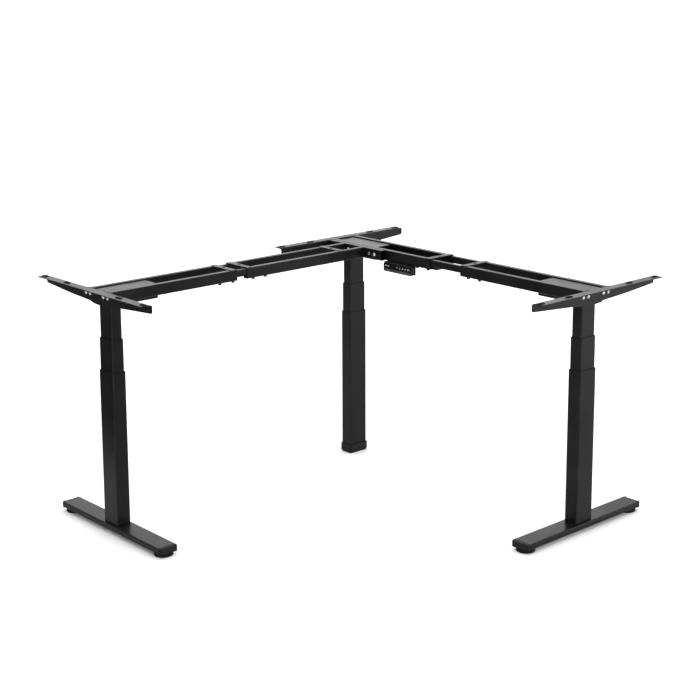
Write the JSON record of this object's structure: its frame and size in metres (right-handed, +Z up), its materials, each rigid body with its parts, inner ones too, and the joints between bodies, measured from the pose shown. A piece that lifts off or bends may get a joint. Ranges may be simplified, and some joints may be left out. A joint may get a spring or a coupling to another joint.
{
  "type": "height adjustable standing desk frame",
  "caption": "L-shaped standing desk frame on telescopic lifting columns, with extending beams, side brackets, flat feet and a push-button handset; no table top.",
  "frame": {"origin": "on the floor under the centre of the corner column's pad", "axes": "+Z up; +X along the main wing from the corner column to the right leg; -Y along the return wing from the corner column to the left leg"},
  "size_m": [1.4113, 1.4998, 0.8235],
  "materials": {
    "black_powder_coat": "fine-textured satin black powder coat",
    "black_plastic": "finely grained black moulding",
    "black_rubber": "matt black rubber",
    "zinc_steel": "bright zinc-plated steel",
    "motor_grey": "dark grey coated steel",
    "gloss_black": "polished black plastic"
  },
  "bodies": {
    "corner_foot": {"corner_outer_tube": "black_powder_coat", "corner_nut_tube": "motor_grey", "corner_shoe": "black_plastic", "corner_floor_pad": "black_rubber"},
    "desk_frame": {"corner_inner_tube": "black_powder_coat", "corner_gear_motor": "motor_grey", "corner_motor_housing": "black_powder_coat", "corner_rail_frame": "black_powder_coat", "main_near_inner_rail": "black_powder_coat", "main_far_inner_rail": "black_powder_coat", "return_near_inner_rail": "black_powder_coat", "return_far_inner_rail": "black_powder_coat", "return_rail_frame": "black_powder_coat", "corner_side_bracket": "black_powder_coat", "control_box": "black_plastic", "handset_housing": "black_plastic", "handset_panel": "gloss_black"},
    "corner_middle": {"corner_middle_tube": "black_powder_coat", "corner_middle_screw": "zinc_steel"},
    "corner_spindle": {"corner_upper_spindle": "zinc_steel"},
    "right_end": {"right_rail_frame": "black_powder_coat", "right_motor_housing": "black_powder_coat", "right_gear_motor": "motor_grey", "right_inner_tube": "black_powder_coat", "right_side_bracket": "black_powder_coat"},
    "right_middle": {"right_middle_tube": "black_powder_coat", "right_middle_screw": "zinc_steel"},
    "right_spindle": {"right_upper_spindle": "zinc_steel"},
    "right_foot": {"right_outer_tube": "black_powder_coat", "right_nut_tube": "motor_grey", "right_foot_tube": "black_powder_coat", "right_front_cap": "black_plastic", "right_rear_cap": "black_plastic", "right_front_glide": "black_rubber", "right_rear_glide": "black_rubber"},
    "left_end": {"left_rail_frame": "black_powder_coat", "left_motor_housing": "black_powder_coat", "left_gear_motor": "motor_grey", "left_inner_tube": "black_powder_coat", "left_side_bracket": "black_powder_coat"},
    "left_middle": {"left_middle_tube": "black_powder_coat", "left_middle_screw": "zinc_steel"},
    "left_spindle": {"left_upper_spindle": "zinc_steel"},
    "left_foot": {"left_outer_tube": "black_powder_coat", "left_nut_tube": "motor_grey", "left_foot_tube": "black_powder_coat", "left_front_cap": "black_plastic", "left_rear_cap": "black_plastic", "left_front_glide": "black_rubber", "left_rear_glide": "black_rubber"},
    "key_up": {"handset_key_up": "gloss_black"},
    "key_down": {"handset_key_down": "gloss_black"},
    "key_1": {"handset_key_1": "gloss_black"},
    "key_2": {"handset_key_2": "gloss_black"},
    "key_3": {"handset_key_3": "gloss_black"},
    "key_4": {"handset_key_4": "gloss_black"},
    "key_memory": {"handset_key_memory": "gloss_black"}
  },
  "joints": [
    {"name": "desk_lift", "type": "slide", "parent": "corner_foot", "child": "desk_frame", "axis": [0, 0, 1], "range_m": [-0.185, 0.455]},
    {"name": "beam_right_extend", "type": "slide", "parent": "desk_frame", "child": "right_end", "axis": [1, 0, 0], "range_m": [-0.14, 0.275]},
    {"name": "beam_left_extend", "type": "slide", "parent": "desk_frame", "child": "left_end", "axis": [0, -1, 0], "range_m": [-0.04, 0.24]},
    {"name": "leg_corner_middle", "type": "slide", "parent": "corner_foot", "child": "corner_middle", "axis": [0, 0, 1], "range_m": [-0.0935, 0.2285]},
    {"name": "leg_right_middle", "type": "slide", "parent": "right_end", "child": "right_middle", "axis": [0, 0, -1], "range_m": [-0.0935, 0.2285]},
    {"name": "leg_right_foot", "type": "slide", "parent": "right_end", "child": "right_foot", "axis": [0, 0, -1], "range_m": [-0.186, 0.456]},
    {"name": "leg_left_middle", "type": "slide", "parent": "left_end", "child": "left_middle", "axis": [0, 0, -1], "range_m": [-0.0935, 0.2285]},
    {"name": "leg_left_foot", "type": "slide", "parent": "left_end", "child": "left_foot", "axis": [0, 0, -1], "range_m": [-0.186, 0.456]},
    {"name": "screw_corner_spin", "type": "hinge", "parent": "desk_frame", "child": "corner_spindle", "pos_m": [0, 0, 0.75], "axis": [0, 0, 1], "range_deg": [-8400, 20600]},
    {"name": "screw_right_spin", "type": "hinge", "parent": "right_end", "child": "right_spindle", "pos_m": [1.095, 0, 0.75], "axis": [0, 0, 1], "range_deg": [-8400, 20600]},
    {"name": "screw_left_spin", "type": "hinge", "parent": "left_end", "child": "left_spindle", "pos_m": [0.083, -1.129, 0.75], "axis": [0, 0, 1], "range_deg": [-8400, 20600]},
    {"name": "key_up", "type": "slide", "parent": "desk_frame", "child": "key_up", "axis": [0, 1, 0], "range_m": [0, 0.0008], "stiffness_N_per_m": 1500, "springref_m": -0.0003},
    {"name": "key_down", "type": "slide", "parent": "desk_frame", "child": "key_down", "axis": [0, 1, 0], "range_m": [0, 0.0008], "stiffness_N_per_m": 1500, "springref_m": -0.0003},
    {"name": "key_1", "type": "slide", "parent": "desk_frame", "child": "key_1", "axis": [0, 1, 0], "range_m": [0, 0.0008], "stiffness_N_per_m": 1500, "springref_m": -0.0003},
    {"name": "key_2", "type": "slide", "parent": "desk_frame", "child": "key_2", "axis": [0, 1, 0], "range_m": [0, 0.0008], "stiffness_N_per_m": 1500, "springref_m": -0.0003},
    {"name": "key_3", "type": "slide", "parent": "desk_frame", "child": "key_3", "axis": [0, 1, 0], "range_m": [0, 0.0008], "stiffness_N_per_m": 1500, "springref_m": -0.0003},
    {"name": "key_4", "type": "slide", "parent": "desk_frame", "child": "key_4", "axis": [0, 1, 0], "range_m": [0, 0.0008], "stiffness_N_per_m": 1500, "springref_m": -0.0003},
    {"name": "key_memory", "type": "slide", "parent": "desk_frame", "child": "key_memory", "axis": [0, 1, 0], "range_m": [0, 0.0008], "stiffness_N_per_m": 1500, "springref_m": -0.0003}
  ],
  "couplings": [
    {"joint": "leg_corner_middle", "follows": "desk_lift", "ratio": 0.5},
    {"joint": "leg_right_middle", "follows": "desk_lift", "ratio": 0.5},
    {"joint": "leg_right_foot", "follows": "desk_lift", "ratio": 1},
    {"joint": "leg_left_middle", "follows": "desk_lift", "ratio": 0.5},
    {"joint": "leg_left_foot", "follows": "desk_lift", "ratio": 1},
    {"joint": "screw_corner_spin", "follows": "desk_lift", "rad_per_m": 785.4},
    {"joint": "screw_right_spin", "follows": "desk_lift", "rad_per_m": 785.4},
    {"joint": "screw_left_spin", "follows": "desk_lift", "rad_per_m": 785.4}
  ]
}
